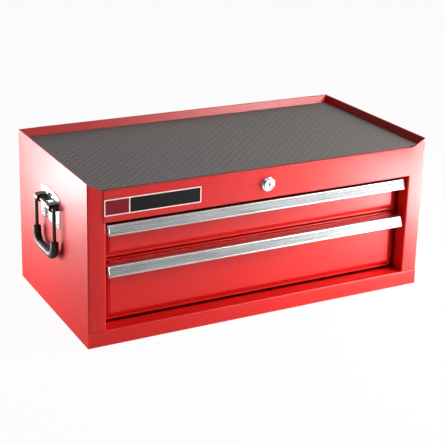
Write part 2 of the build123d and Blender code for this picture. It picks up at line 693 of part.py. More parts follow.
def ball_cage(bottom):
    """The strip that spaces one slide's balls, folded round inside the outer rail."""
    centres = ball_places(bottom)
    first, last = centres[0][1], centres[BALLS_IN_ROW - 1][1]
    reach = CAGE_MARGIN + BALL_R
    mid = CAGE_SHEET / 2
    web = OPENING - SLIDE_SHEET - CAGE_WEB_GAP - mid
    level = inner_half() + race_gap() / 2
    points = [(web - CAGE_FLANGE, level), (web, level), (web, -level), (web - CAGE_FLANGE, -level)]
    section = Pos(0, bottom + SLIDE_RISE) * folded(points, CAGE_SHEET, CAGE_SHEET)
    cage = along_y(section, first - reach, last + reach)
    for x, y, z in centres:
        cage -= rod((x, y, z - CAGE_SHEET), (0, 0, 1), BALL_R + CAGE_HOLE_PLAY, 2 * CAGE_SHEET)
    return cage


def slide_balls(bottom):
    """The balls of a drawer's two slides."""
    balls = [Pos(*centre) * Sphere(BALL_R) for centre in ball_places(bottom)]
    return group(balls + [mirrored(ball) for ball in balls])


def rail_rivets(bottoms):
    """The rivets that hold the fixed rails to the uprights, all four rails."""
    rivets = []
    for bottom in bottoms:
        for y in slide_rivet_places():
            level = bottom + SLIDE_RISE
            rivet = rod((OPENING - SLIDE_SHEET, y, level), (1, 0, 0), RIVET_R, SLIDE_SHEET + SHEET)
            rivet += rod((OPENING + SHEET, y, level), (1, 0, 0), RIVET_HEAD_R, RIVET_HEAD)
            rivets += [rivet, mirrored(rivet)]
    return group(rivets)


def tray_rivets(bottom):
    """The rivets that hold a drawer's moving rails."""
    rivets = []
    for y in tray_rivet_places():
        level = bottom + SLIDE_RISE
        start = TRAY_HALF - DRAWER_SHEET
        rivet = rod((start, y, level), (1, 0, 0), RIVET_R, DRAWER_SHEET + SLIDE_SHEET)
        rivet += rod((start - RIVET_HEAD, y, level), (1, 0, 0), RIVET_HEAD_R, RIVET_HEAD)
        rivets += [rivet, mirrored(rivet)]
    return group(rivets)


# ---------------------------------------------------------------- side handles
def plate_rivet_places(axis_y):
    """The (y, z) of the rivets in a handle plate."""
    low = PLATE_BOTTOM + PLATE_RIVET_Z
    high = low + PLATE_RIVET_PITCH
    lower = [(axis_y + side * PLATE_RIVET_X, low) for side in (-1, 1)]
    return lower + [(axis_y + side * PLATE_RIVET_TOP_X, high) for side in (-1, 1)]


def handle_plate():
    """The right handle's plate, with an arched top."""
    half = PLATE_WIDTH / 2
    shoulder = HANDLE_AXIS_Z + PLATE_SHOULDER_RISE
    top = HANDLE_AXIS_Z + PLATE_RISE
    outline = Line((-half, shoulder), (-half, PLATE_BOTTOM))
    outline += Line((-half, PLATE_BOTTOM), (half, PLATE_BOTTOM))
    outline += Line((half, PLATE_BOTTOM), (half, shoulder))
    outline += ThreePointArc((half, shoulder), (0, top), (-half, shoulder))
    face = make_face(outline)
    face = fillet(face.vertices().group_by(Axis.Y)[0], PLATE_CORNER)
    plate = along_x(Pos(MID_DEPTH, 0) * face, HALF, HALF + PLATE_THICKNESS)
    for y, z in plate_rivet_places(MID_DEPTH):
        plate -= rod((HALF - CUT, y, z), (1, 0, 0), RIVET_R + RIVET_FIT, PLATE_THICKNESS + 2 * CUT)
    return plate


def handle_rivets():
    """The rivets through both plates and side panels."""
    rivets = []
    for y, z in plate_rivet_places(MID_DEPTH):
        rivet = rod((HALF - SHEET, y, z), (1, 0, 0), RIVET_R, SHEET + PLATE_THICKNESS)
        for x in (HALF - SHEET - RIVET_HEAD, HALF + PLATE_THICKNESS):
            rivet += rod((x, y, z), (1, 0, 0), RIVET_HEAD_R, RIVET_HEAD)
        rivets += [rivet, mirrored(rivet)]
    return group(rivets)


def handle_knuckles():
    """The two knuckles on each plate in which the bails turn."""
    axis_x = HALF + HANDLE_AXIS_OUT
    knuckles = []
    for side in (-1, 1):
        y = MID_DEPTH + side * KNUCKLE_SPACING / 2 - KNUCKLE_WIDTH / 2
        knuckle = rod((axis_x, y, HANDLE_AXIS_Z), (0, 1, 0), KNUCKLE_R, KNUCKLE_WIDTH)
        knuckle += block((HALF + PLATE_THICKNESS, axis_x), (y, y + KNUCKLE_WIDTH),
                         (HANDLE_AXIS_Z - KNUCKLE_R, HANDLE_AXIS_Z + KNUCKLE_R))
        start = (axis_x, y - CUT, HANDLE_AXIS_Z)
        knuckle -= rod(start, (0, 1, 0), BAIL_R + BAIL_FIT, KNUCKLE_WIDTH + 2 * CUT)
        knuckles += [knuckle, mirrored(knuckle)]
    return group(knuckles)


def bail_points(rise):
    """The corner points of the bail's U, from a height above the grip's axis."""
    half = BAIL_WIDTH / 2
    low = HANDLE_AXIS_Z - BAIL_DROP
    corners = [(-half, low + rise), (-half, low), (half, low), (half, low + rise)]
    return [(HALF + HANDLE_AXIS_OUT, MID_DEPTH + y, z) for y, z in corners]


def u_bar(rise, radius):
    """A round bar along the bail's U."""
    points = bail_points(rise)
    path = FilletPolyline(*points, radius=BAIL_CORNER)
    return sweep(Plane(origin=points[0], z_dir=(0, 0, 1)) * Circle(radius), path=path)


def handle_bail():
    """The right bail: a steel wire loop that turns in the knuckles."""
    half = BAIL_WIDTH / 2
    axis_x = HALF + HANDLE_AXIS_OUT
    bail = u_bar(BAIL_DROP, BAIL_R)
    bail += rod((axis_x, MID_DEPTH - half, HANDLE_AXIS_Z), (0, 1, 0), BAIL_R, BAIL_WIDTH)
    for side in (-1, 1):
        bail += Pos(axis_x, MID_DEPTH + side * half, HANDLE_AXIS_Z) * Sphere(BAIL_R)
    return bail


def handle_grip():
    """The right rubber sleeve round the bail's lower bar and corners."""
    return u_bar(GRIP_RISE, GRIP_R) - u_bar(BAIL_DROP, BAIL_R)


# ---------------------------------------------------------------- assembly
def build_nodes():
    """Every node by name, in the layout frame."""
    nodes = {}

    def pair(stem, piece):
        """A right piece and its mirror image on the left."""
        nodes[stem + "_right"] = piece
        nodes[stem + "_left"] = mirrored(piece)

    pair("side_panel", side_panel())
    nodes["back_panel"] = back_panel()
    nodes["bottom_panel"] = bottom_panel()
    nodes["bottom_rail"] = bottom_rail()
    nodes["fascia"] = fascia()
    nodes["top_tray"] = top_tray()
    nodes["top_mat"] = top_mat()
    nodes["badge_plate"] = badge_plate()
    upright_top = FLOOR_Z - SHEET
    pair("slide_upright_front", slide_upright(UPRIGHT_FRONT, upright_top))
    pair("slide_upright_rear", slide_upright(UPRIGHT_REAR, upright_top))

    nodes["lock_bezel"] = lock_bezel()
    nodes["lock_nut"] = lock_nut()
    nodes["lock_plug"] = lock_plug()
    nodes["lock_rod"] = lock_rod()
    nodes["lock_crank"] = lock_crank()
    nodes["lock_rod_bracket"] = rod_bracket()
    nodes["lock_bar"] = lock_bar()
    nodes["lock_hooks"] = group([lock_hook(bottom) for bottom, _ in DRAWERS.values()])
    nodes["lock_bar_guides"] = group([lock_bar_guide(level) for level in GUIDE_LEVELS])

    for name, (bottom, top) in DRAWERS.items():
        nodes[f"drawer_{name}_front"] = drawer_front(bottom, top)
        nodes[f"drawer_{name}_tray"] = drawer_tray(bottom, top)
        nodes[f"drawer_{name}_pull"] = drawer_pull(top)
        nodes[f"drawer_{name}_pull_caps"] = pull_caps(top)
        nodes[f"drawer_{name}_pull_rivets"] = pull_rivets(top)
        nodes[f"drawer_{name}_catch"] = drawer_catch(bottom)
        nodes[f"drawer_{name}_rail_rivets"] = tray_rivets(bottom)
        pair(f"slide_{name}_outer", outer_rail(bottom))
        pair(f"slide_{name}_inner", inner_rail(bottom))
        pair(f"slide_{name}_cage", ball_cage(bottom))
        nodes[f"slide_{name}_balls"] = slide_balls(bottom)
    nodes["slide_rivets"] = rail_rivets([bottom for bottom, _ in DRAWERS.values()])

    pair("handle_plate", handle_plate())
    nodes["handle_knuckles"] = handle_knuckles()
    nodes["handle_rivets"] = handle_rivets()
    pair("handle_bail", handle_bail())
    pair("handle_grip", handle_grip())
    return nodes


os.makedirs("parts", exist_ok=True)
for node, shape in build_nodes().items():
    export_step(BODY_CENTRE * shape, f"parts/{node}.step")
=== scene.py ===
"""Looks of a two-drawer steel tool chest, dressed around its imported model.

Metres, in the model's own frame: +X to the right as seen from the front, the drawers open
towards -Y, +Z up, and the ground at z = 0. Every place comes from the model's nodes, and every
size below is a real one, written in millimetres and turned into metres by MM. Only the studio's
places and sizes are written in metres.
"""

import logging
from collections.abc import Iterable, Sequence
from dataclasses import dataclass
from enum import Enum
from math import cos, pi, radians, sin, tau
from typing import ClassVar

import bmesh
import bpy
from bmesh.types import BMesh, BMVert
from bpy.types import Material, Mesh, Node, NodeSocket, NodeTree, Object
from mathutils import Matrix, Vector


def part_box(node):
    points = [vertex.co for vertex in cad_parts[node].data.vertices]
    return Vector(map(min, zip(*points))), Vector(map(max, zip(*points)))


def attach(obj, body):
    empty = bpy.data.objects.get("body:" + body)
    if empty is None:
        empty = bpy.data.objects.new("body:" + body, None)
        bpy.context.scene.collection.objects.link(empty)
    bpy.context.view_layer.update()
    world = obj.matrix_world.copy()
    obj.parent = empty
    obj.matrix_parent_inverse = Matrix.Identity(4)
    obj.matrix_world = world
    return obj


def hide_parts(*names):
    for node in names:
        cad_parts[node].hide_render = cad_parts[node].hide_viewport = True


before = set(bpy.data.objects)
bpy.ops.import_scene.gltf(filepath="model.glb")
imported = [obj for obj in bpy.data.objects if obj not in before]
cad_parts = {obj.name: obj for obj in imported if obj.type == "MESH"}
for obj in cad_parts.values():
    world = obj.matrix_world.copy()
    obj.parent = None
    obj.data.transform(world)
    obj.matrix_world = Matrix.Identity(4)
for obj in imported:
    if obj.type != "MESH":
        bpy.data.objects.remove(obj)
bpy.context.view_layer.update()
MM = 0.001
WELD = 0.001 * MM  # Points of a drawn skin that are nearer than this are one point.
CAD_WELD = 0.002 * MM  # The same for the model's own meshes, which come in single precision.
log = logging.getLogger("tool_chest")


class Side(Enum):
    """The two sides of the chest, by the word in their nodes' names."""

    LEFT = "left"
    RIGHT = "right"


class Level(Enum):
    """The two drawers, by the word in their nodes' names."""

    UPPER = "upper"
    LOWER = "lower"


# ---------------- node trees
def add_node(tree: NodeTree, kind: str, inputs: dict | None = None, **settings) -> Node:
    """Adds a node with its settings and links.

    Args:
        tree: the shader or geometry tree.
        kind: the node's type name.
        inputs: a value or another node's output for each input, by its name or number.
        **settings: the node's own properties.

    Returns:
        The new node.
    """
    node = tree.nodes.new(kind)
    for key, value in settings.items():
        setattr(node, key, value)
    for key, value in (inputs or {}).items():
        if isinstance(value, NodeSocket):
            tree.links.new(value, node.inputs[key])
        else:
            node.inputs[key].default_value = value
    return node


def linear(colour: str) -> tuple[float, float, float, float]:
    """Turns an sRGB hex colour into the linear colour that shaders take.

    Args:
        colour: the colour as "#RRGGBB".

    Returns:
        Red, green, blue and an alpha of 1.
    """
    knee, slope, offset, power = 0.04045, 12.92, 0.055, 2.4
    parts = [int(colour[i:i + 2], 16) / 255 for i in (1, 3, 5)]
    return *(part / slope if part <= knee else ((part + offset) / (1 + offset)) ** power
             for part in parts), 1.0


# ---------------- finishes
@dataclass(frozen=True)
class Finish:
    """A surface finish, which makes its own procedural material.

    Its colour wanders between two near tones in patches of a real size, and its grain gives
    both the bump and the small change of gloss that such a surface shows.
    """

    NOISE_RANGE: ClassVar[tuple[float, float]] = (0.3, 0.7)  # Where nearly all of a noise lies.

    name: str
    slot: str
    tone: str
    tone_two: str
    roughness: float
    roughness_spread: float = 0.04
    metallic: float = 0.0
    specular: float = 0.5
    coat: float = 0.0
    sheen: float = 0.0
    patch_mm: float = 90.0
    grain_mm: tuple[float, float, float] = (2.0, 2.0, 2.0)
    grain_height_mm: float = 0.02

    def material(self) -> Material:
        """Makes the material, or returns the one already made.

        Returns:
            The material of this finish.
        """
        found = bpy.data.materials.get(self.name)
        if found:
            return found
        material = bpy.data.materials.new(self.name)
        material.use_nodes = True
        tree = material.node_tree
        shader = tree.nodes["Principled BSDF"]
        shader.inputs["Metallic"].default_value = self.metallic
        shader.inputs["Specular IOR Level"].default_value = self.specular
        shader.inputs["Coat Weight"].default_value = self.coat
        shader.inputs["Sheen Weight"].default_value = self.sheen
        place = add_node(tree, "ShaderNodeTexCoord").outputs["Object"]
        self.colour(tree, shader, place)
        self.grain(tree, shader, place)
        return material

    def colour(self, tree: NodeTree, shader: Node, place: NodeSocket) -> None:
        """Lets the colour wander between the two tones.

        Args:
            tree: the material's tree.
            shader: its principled shader.
            place: object coordinates.
        """
        patches = add_node(tree, "ShaderNodeTexNoise", {
            "Vector": place, "Scale": 1 / (self.patch_mm * MM), "Detail": 3.0})
        self.mix_tones(tree, shader, patches.outputs["Fac"])

    def mix_tones(self, tree: NodeTree, shader: Node, share: NodeSocket) -> None:
        """Mixes the two tones into the shader's colour.

        Args:
            tree: the material's tree.
            shader: its principled shader.
            share: how much of the second tone shows.
        """
        tones = add_node(tree, "ShaderNodeMix", {
            "Factor": share, "A": linear(self.tone), "B": linear(self.tone_two)}, data_type="RGBA")
        tree.links.new(tones.outputs["Result"], shader.inputs["Base Color"])

    def grain(self, tree: NodeTree, shader: Node, place: NodeSocket) -> None:
        """Adds the grain as bump and as a change of gloss.

        Args:
            tree: the material's tree.
            shader: its principled shader.
            place: object coordinates.
        """
        scale = [1 / (size * MM) for size in self.grain_mm]
        stretched = add_node(tree, "ShaderNodeMapping", {"Vector": place, "Scale": scale})
        noise = add_node(tree, "ShaderNodeTexNoise", {
            "Vector": stretched.outputs["Vector"], "Scale": 1.0, "Detail": 2.0})
        low, high = self.NOISE_RANGE
        gloss = add_node(tree, "ShaderNodeMapRange", {
            "Value": noise.outputs["Fac"], "From Min": low, "From Max": high,
            "To Min": self.roughness - self.roughness_spread,
            "To Max": self.roughness + self.roughness_spread})
        tree.links.new(gloss.outputs["Result"], shader.inputs["Roughness"])
        bump = add_node(tree, "ShaderNodeBump", {
            "Height": noise.outputs["Fac"], "Strength": 1.0, "Distance": self.grain_height_mm * MM})
        tree.links.new(bump.outputs["Normal"], shader.inputs["Normal"])


@dataclass(frozen=True)
class PowderCoat(Finish):
    """Polyester powder coat, baked on sheet steel: a fine orange peel under a wide soft gloss."""

    peel_mm: float = 2.6
    peel_height_mm: float = 0.02
    peel_strength: float = 0.6

    def grain(self, tree: NodeTree, shader: Node, place: NodeSocket) -> None:
        """Adds the orange peel's cells over the usual grain.

        Args:
            tree: the material's tree.
            shader: its principled shader.
            place: object coordinates.
        """
        super().grain(tree, shader, place)
        first = shader.inputs["Normal"].links[0].from_socket
        cells = add_node(tree, "ShaderNodeTexVoronoi", {
            "Vector": place, "Scale": 1 / (self.peel_mm * MM)}, feature="SMOOTH_F1")
        peel = add_node(tree, "ShaderNodeBump", {
            "Height": cells.outputs["Distance"], "Strength": self.peel_strength,
            "Distance": self.peel_height_mm * MM, "Normal": first})
        tree.links.new(peel.outputs["Normal"], shader.inputs["Normal"])


@dataclass(frozen=True)
class ZincPlate(Finish):
    """Bright zinc plating on pressed steel: pale spangled patches over a fine matt grain."""

    def colour(self, tree: NodeTree, shader: Node, place: NodeSocket) -> None:
        """Colours the crystals of the plating, each in its own tone.

        Args:
            tree: the material's tree.
            shader: its principled shader.
            place: object coordinates.
        """
        crystals = add_node(tree, "ShaderNodeTexVoronoi", {
            "Vector": place, "Scale": 1 / (self.patch_mm * MM)})
        grey = add_node(tree, "ShaderNodeRGBToBW", {"Color": crystals.outputs["Color"]})
        self.mix_tones(tree, shader, grey.outputs["Val"])


# Gloss red powder coat: saturated red, a wide highlight that turns it pink, fine orange peel.
RED_POWDER = PowderCoat(
    "powder_coat_red", "red_paint", "#C90E07", "#C50B06", 0.37, 0.03, specular=0.5,
    grain_mm=(1.1, 1.1, 1.1), grain_height_mm=0.012)
# Nitrile rubber, calendered: dull warm grey with a fine matt skin.
MAT_RUBBER = Finish(
    "nitrile_rubber_grey", "rubber_mat", "#5C5856", "#66615E", 0.58, 0.08,
    patch_mm=60.0, grain_mm=(0.7, 0.7, 0.7), grain_height_mm=0.08)
# Anodised aluminium, brushed along its length; real scratches of 0.1 mm are drawn 0.7 mm wide.
BRUSHED_ALUMINIUM = Finish(
    "anodised_aluminium_brushed", "pull_aluminium", "#C9CDCE", "#D4D7D7", 0.27, 0.05, metallic=1.0,
    patch_mm=140.0, grain_mm=(90.0, 0.7, 0.7), grain_height_mm=0.0025)
# Bright chrome plate, buffed: a clear mirror with the faintest polishing haze.
CHROME = Finish(
    "chrome_plate_buffed", "lock_chrome", "#E2E4E7", "#EBECEE", 0.09, 0.03, metallic=1.0,
    patch_mm=9.0, grain_mm=(0.6, 0.6, 3.0), grain_height_mm=0.002)
# Chrome plate on pressed steel, not buffed: the sheet's own grain blurs what it mirrors.
PLATE_CHROME = Finish(
    "chrome_plate_pressed", "handle_chrome", "#DFE2E5", "#EAECEE", 0.16, 0.04, metallic=1.0,
    patch_mm=25.0, grain_mm=(1.2, 1.2, 1.2), grain_height_mm=0.006)
# Bright zinc plate on steel: pale grey crystals a few millimetres wide, satin.
ZINC = ZincPlate(
    "zinc_plate_bright", "zinc_steel", "#B4B9BE", "#C4C7C6", 0.36, 0.08, metallic=1.0,
    patch_mm=4.0, grain_mm=(0.8, 0.8, 0.8), grain_height_mm=0.01)
# Through-hardened chrome steel, lapped: bright balls with a trace of oil haze.
BALL_STEEL = Finish(
    "bearing_steel_lapped", "ball_steel", "#C6C8CA", "#D2D3D4", 0.12, 0.04, metallic=1.0,
    patch_mm=3.0, grain_mm=(0.4, 0.4, 0.4), grain_height_mm=0.002)
# Black stoving enamel on steel: near black with small sharp highlights.
BLACK_ENAMEL = Finish(
    "stoving_enamel_black", "handle_black", "#0C0C0D", "#141415", 0.28, 0.06, coat=0.3,
    patch_mm=20.0, grain_mm=(1.0, 1.0, 1.0), grain_height_mm=0.012)
# Moulded rubber sleeve: black, satin, with the fine matt skin of a blasted mould.
GRIP_RUBBER = Finish(
    "moulded_rubber_black", "grip_rubber", "#111213", "#191A1B", 0.46, 0.07, sheen=0.05,
    patch_mm=15.0, grain_mm=(0.5, 0.5, 0.5), grain_height_mm=0.04)
# Screen-printed plate: flat gloss inks on aluminium, faintly uneven.
INK_PALE = Finish(
    "printed_ink_pale", "badge_black", "#F3E3E1", "#F7EAE8", 0.3,
    patch_mm=30.0, grain_height_mm=0.004)
INK_BLACK = Finish(
    "printed_ink_black", "badge_black", "#060607", "#09090A", 0.3, 0.02, specular=0.25,
    patch_mm=30.0, grain_height_mm=0.001)
INK_WINE = Finish(
    "printed_ink_wine", "badge_black", "#780618", "#80081A", 0.3, 0.02, specular=0.25,
    patch_mm=30.0, grain_height_mm=0.001)


# ---------------- mesh helpers
def linked(name: str, mesh: Mesh, finish: Finish | None = None) -> Object:
    """Puts a mesh into the scene at the origin.

    Args:
        name: the piece's name.
        mesh: its mesh, already in place.
        finish: the finish to give it, unless its mesh has one.

    Returns:
        The new object.
    """
    piece = bpy.data.objects.new(name, mesh)
    bpy.context.scene.collection.objects.link(piece)
    if finish:
        mesh.materials.clear()
        mesh.materials.append(finish.material())
    return piece


def flattened(piece: Object) -> Object:
    """Turns a piece and its modifiers into one plain mesh.

    Args:
        piece: an object with modifiers.

    Returns:
        The same object, with the result as its mesh and no modifier.
    """
    bpy.context.view_layer.update()
    graph = bpy.context.evaluated_depsgraph_get()
    mesh = bpy.data.meshes.new_from_object(piece.evaluated_get(graph), depsgraph=graph)
    piece.modifiers.clear()
    mesh.name = piece.name
    piece.data = mesh
    return piece


def welded(node: str) -> BMesh:
    """Reads a node's mesh with its doubled points made one.

    Args:
        node: the name of the node.

    Returns:
        A bmesh, which the caller frees.
    """
    shape = bmesh.new()
    shape.from_mesh(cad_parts[node].data)
    bmesh.ops.remove_doubles(shape, verts=shape.verts, dist=CAD_WELD)
    return shape


def written(name: str, shape: BMesh) -> Mesh:
    """Writes a bmesh into a new mesh.

    Args:
        name: the mesh's name.
        shape: the bmesh, which is freed.

    Returns:
        The new mesh, shaded smooth.
    """
    mesh = bpy.data.meshes.new(name)
    shape.to_mesh(mesh)
    shape.free()
    if "custom_normal" in mesh.attributes:
        mesh.attributes.remove(mesh.attributes["custom_normal"])
    mesh.shade_smooth()
    return mesh


def skin(shape: BMesh, rings: Sequence[Sequence[Vector]],
         closed: bool = False) -> list[list[BMVert]]:
    """Joins rings of points with a band of faces between each two.

    Args:
        shape: the bmesh to draw in.
        rings: closed rings, all with as many points.
        closed: whether the last ring joins the first.

    Returns:
        The points of each ring in the bmesh.
    """
    loops = [[shape.verts.new(point) for point in ring] for ring in rings]
    for one, two in zip(loops, loops[1:] + (loops[:1] if closed else [])):
        for i in range(len(one)):
            j = (i + 1) % len(one)
            shape.faces.new((one[i], one[j], two[j], two[i]))
    return loops


def bridged(name: str, rings: Sequence[Sequence[Vector]], closed: bool) -> Mesh:
    """Joins rings of points into a closed skin with its faces pointing outwards.

    Args:
        name: the mesh's name.
        rings: closed rings, all with as many points.
        closed: whether the last ring joins the first; otherwise both ends are capped.

    Returns:
        The new mesh, shaded smooth.
    """
    shape = bmesh.new()
    loops = skin(shape, rings, closed)
    if not closed:
        shape.faces.new(loops[0])
        shape.faces.new(loops[-1])
    bmesh.ops.remove_doubles(shape, verts=shape.verts, dist=WELD)
    bmesh.ops.recalc_face_normals(shape, faces=shape.faces)
    return written(name, shape)


def weighted(piece: Object) -> Object:
    """Keeps flat faces flat in a smooth-shaded piece, by weighting its normals.

    Args:
        piece: a smooth-shaded object, with any other modifiers already on it.

    Returns:
        The same object as a plain mesh.
    """
    modifier = piece.modifiers.new("weighted_normals", "WEIGHTED_NORMAL")
    modifier.keep_sharp = True
    return flattened(piece)


def softened(node: str, finish: Finish, edge_mm: float = 0.4) -> Object:
    """Makes a copy of a node whose cut edges are rounded, as a coating leaves them.

    Args:
        node: the model's node that the copy stands for.
        finish: the finish of the copy.
        edge_mm: the width of the rounding.

    Returns:
        The finished copy.
    """
    flat, sharp = radians(0.4), radians(38)
    shape = welded(node)
    bmesh.ops.dissolve_limit(shape, angle_limit=flat, verts=shape.verts, edges=shape.edges)
    piece = linked(f"{node}_finished", written(node, shape), finish)
    bevel = piece.modifiers.new("soft_edges", "BEVEL")
    bevel.width = edge_mm * MM
    bevel.segments = 2
    bevel.limit_method = "ANGLE"
    bevel.angle_limit = sharp
    bevel.harden_normals = True
    return flattened(piece)


def placed(piece: Object, body: str, finish: Finish, *nodes: str) -> Object:
    """Gives a piece its body and the nodes that it stands for.

    Args:
        piece: the finished object.
        body: the body that it moves with.
        finish: not used.
        *nodes: the nodes that it replaces.

    Returns:
        The same object.
    """
    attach(piece, body)
    if nodes:
        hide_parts(*nodes)
    log.info("%s: %d faces on %s", piece.name, len(piece.data.polygons), body)
    return piece


def dress(finish: Finish, *nodes: str) -> None:
    """Gives nodes whose shape stays a finish.

    Args:
        finish: the finish.
        *nodes: the names of the nodes.
    """
    for name in nodes:
        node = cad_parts[name]
        if not node.material_slots:
            node.data.materials.append(finish.material())
        for slot in node.material_slots:
            slot.material = finish.material()
        log.info("%s: dressed in %s", name, finish.name)


def islands(node: str) -> list[tuple[Vector, Vector]]:
    """Finds the separate solids of a node.

    Args:
        node: a node that groups like pieces.

    Returns:
        The lowest and highest corner of each solid, in the order of the mesh's points.
    """
    shape = welded(node)
    waiting = set(shape.verts)
    boxes = []
    for start in shape.verts:
        if start not in waiting:
            continue
        waiting.remove(start)
        stack = [start]
        low, high = start.co.copy(), start.co.copy()
        while stack:
            vertex = stack.pop()
            low = Vector(map(min, low, vertex.co))
            high = Vector(map(max, high, vertex.co))
            near = {edge.other_vert(vertex) for edge in vertex.link_edges} & waiting
            waiting -= near
            stack.extend(near)
        boxes.append((low, high))
    shape.free()
    return boxes


# ---------------- shapes that follow a rule
class Tree:
    """A geometry node tree with named inputs, which ends in one realised mesh."""

    KINDS = {"Geometry": "NodeSocketGeometry", "Material": "NodeSocketMaterial"}

    def __init__(self, name: str, *inputs: str) -> None:
        """Makes the tree.

        Args:
            name: the tree's name.
            *inputs: the names of its sizes.
        """
        self.tree = bpy.data.node_groups.new(name, "GeometryNodeTree")
        sockets = self.tree.interface
        for label in ("Geometry", *inputs, "Material"):
            kind = self.KINDS.get(label, "NodeSocketFloat")
            sockets.new_socket(label, in_out="INPUT", socket_type=kind)
        sockets.new_socket("Geometry", in_out="OUTPUT", socket_type=self.KINDS["Geometry"])
        self.inputs = self.tree.nodes.new("NodeGroupInput").outputs

    def add(self, kind: str, inputs: dict | None = None, out: str | int = 0,
            **settings) -> NodeSocket:
        """Adds a node and returns one of its outputs.

        Args:
            kind: the node's type name, without its GeometryNode prefix where it has one.
            inputs: its inputs, as for add_node.
            out: the output that is wanted.
            **settings: the node's own properties.

        Returns:
            The output socket.
        """
        full = kind if kind.startswith(("ShaderNode", "FunctionNode")) else f"GeometryNode{kind}"
        return add_node(self.tree, full, inputs, **settings).outputs[out]

    def vector(self, **parts: float | NodeSocket) -> NodeSocket:
        """Puts a vector together.

        Args:
            **parts: its X, Y and Z, or 0 where one is left out.

        Returns:
            The vector's socket.
        """
        return self.add("ShaderNodeCombineXYZ", parts)

    def join(self, one: NodeSocket, two: NodeSocket) -> NodeSocket:
        """Joins two geometries.

        Args:
            one: the first.
            two: the second.

        Returns:
            The joined geometry's socket.
        """
        both = self.add("JoinGeometry", {"Geometry": one})
        self.tree.links.new(two, both.node.inputs["Geometry"])
        return both

    def maths(self, operation: str, *values: float | NodeSocket) -> NodeSocket:
        """Adds one sum and returns its result.

        Args:
            operation: the name of the operation.
            *values: its operands.

        Returns:
            The result's socket.
        """
        return self.add("ShaderNodeMath", dict(enumerate(values)), operation=operation)

    def finish(self, geometry: NodeSocket, smooth: bool = True) -> None:
        """Ends the tree: shading, realised instances and the material.

        Args:
            geometry: what the tree has made.
            smooth: whether its faces are shaded smooth.
        """
        shaded = self.add("SetShadeSmooth", {"Geometry": geometry, "Shade Smooth": smooth})
        real = self.add("RealizeInstances", {"Geometry": shaded})
        dressed = self.add("SetMaterial", {"Geometry": real, "Material": self.inputs["Material"]})
        add_node(self.tree, "NodeGroupOutput", {"Geometry": dressed})

    def grow(self, name: str, base: Mesh, finish: Finish, **sizes: float) -> Object:
        """Runs the tree on a mesh and keeps the result as a plain mesh.

        Args:
            name: the new piece's name.
            base: the points, path or empty mesh that the tree starts from.
            finish: the material to set.
            **sizes: the named inputs, with underscores for spaces.

        Returns:
            The new piece.
        """
        values = {key.replace("_", " "): value for key, value in sizes.items()}
        values["Material"] = finish.material()
        piece = linked(name, base)
        modifier = piece.modifiers.new("grow", "NODES")
        modifier.node_group = self.tree
        for item in self.tree.interface.items_tree:
            if item.in_out == "INPUT" and item.name in values:
                modifier[item.identifier] = values[item.name]
        return flattened(piece)


def rivet_tree() -> Tree:
    """A domed rivet head with its shank at each point, along the point's own axis.

    Returns:
        The tree, with the head's and shank's sizes as inputs.
    """
    dome_steps, head_sides, shank_sides = 7, 20, 16
    fullness = 0.86  # 1 is half a ball; less leaves a small flat crown.
    tree = Tree("rivets", "Head Radius", "Head Height", "Shank Radius", "Shank Length")
    size = tree.inputs
    line = tree.add("CurvePrimitiveLine", {"Start": (0, 0, 0), "End": (0, 0, 1)})
    steps = tree.add("ResampleCurve", {"Curve": line, "Count": dome_steps})
    along = tree.add("SplineParameter", out="Factor")
    square = tree.maths("POWER", along, 2.0)
    dome = tree.maths("SQRT", tree.maths("SUBTRACT", 1.0, tree.maths("MULTIPLY", square, fullness)))
    outline = tree.add("CurvePrimitiveCircle", {"Resolution": head_sides, "Radius": 1.0})
    unit = tree.add("CurveToMesh", {
        "Curve": steps, "Profile Curve": outline, "Scale": dome, "Fill Caps": True})
    head_size = tree.vector(X=size["Head Radius"], Y=size["Head Radius"], Z=size["Head Height"])
    head = tree.add("Transform", {"Geometry": unit, "Scale": head_size})
    shank = tree.add("MeshCylinder", {
        "Vertices": shank_sides, "Radius": size["Shank Radius"],
        "Depth": size["Shank Length"]}, out="Mesh")
    drop = tree.vector(Z=tree.maths("MULTIPLY", size["Shank Length"], -0.5))
    rivet = tree.join(head, tree.add("Transform", {"Geometry": shank, "Translation": drop}))
    axis = tree.add("InputNamedAttribute", {"Name": "axis"}, data_type="FLOAT_VECTOR")
    turn = tree.add("FunctionNodeAlignRotationToVector", {"Vector": axis}, axis="Z")
    tree.finish(tree.add("InstanceOnPoints", {
        "Points": size["Geometry"], "Instance": rivet, "Rotation": turn}))
    return tree


def ball_tree() -> Tree:
    """A ball at each point.

    Returns:
        The tree, with the ball's radius as its input.
    """
    tree = Tree("balls", "Radius")
    ball = tree.add("MeshUVSphere", {
        "Segments": 24, "Rings": 12, "Radius": tree.inputs["Radius"]}, out="Mesh")
    tree.finish(tree.add("InstanceOnPoints", {
        "Points": tree.inputs["Geometry"], "Instance": ball}))
    return tree


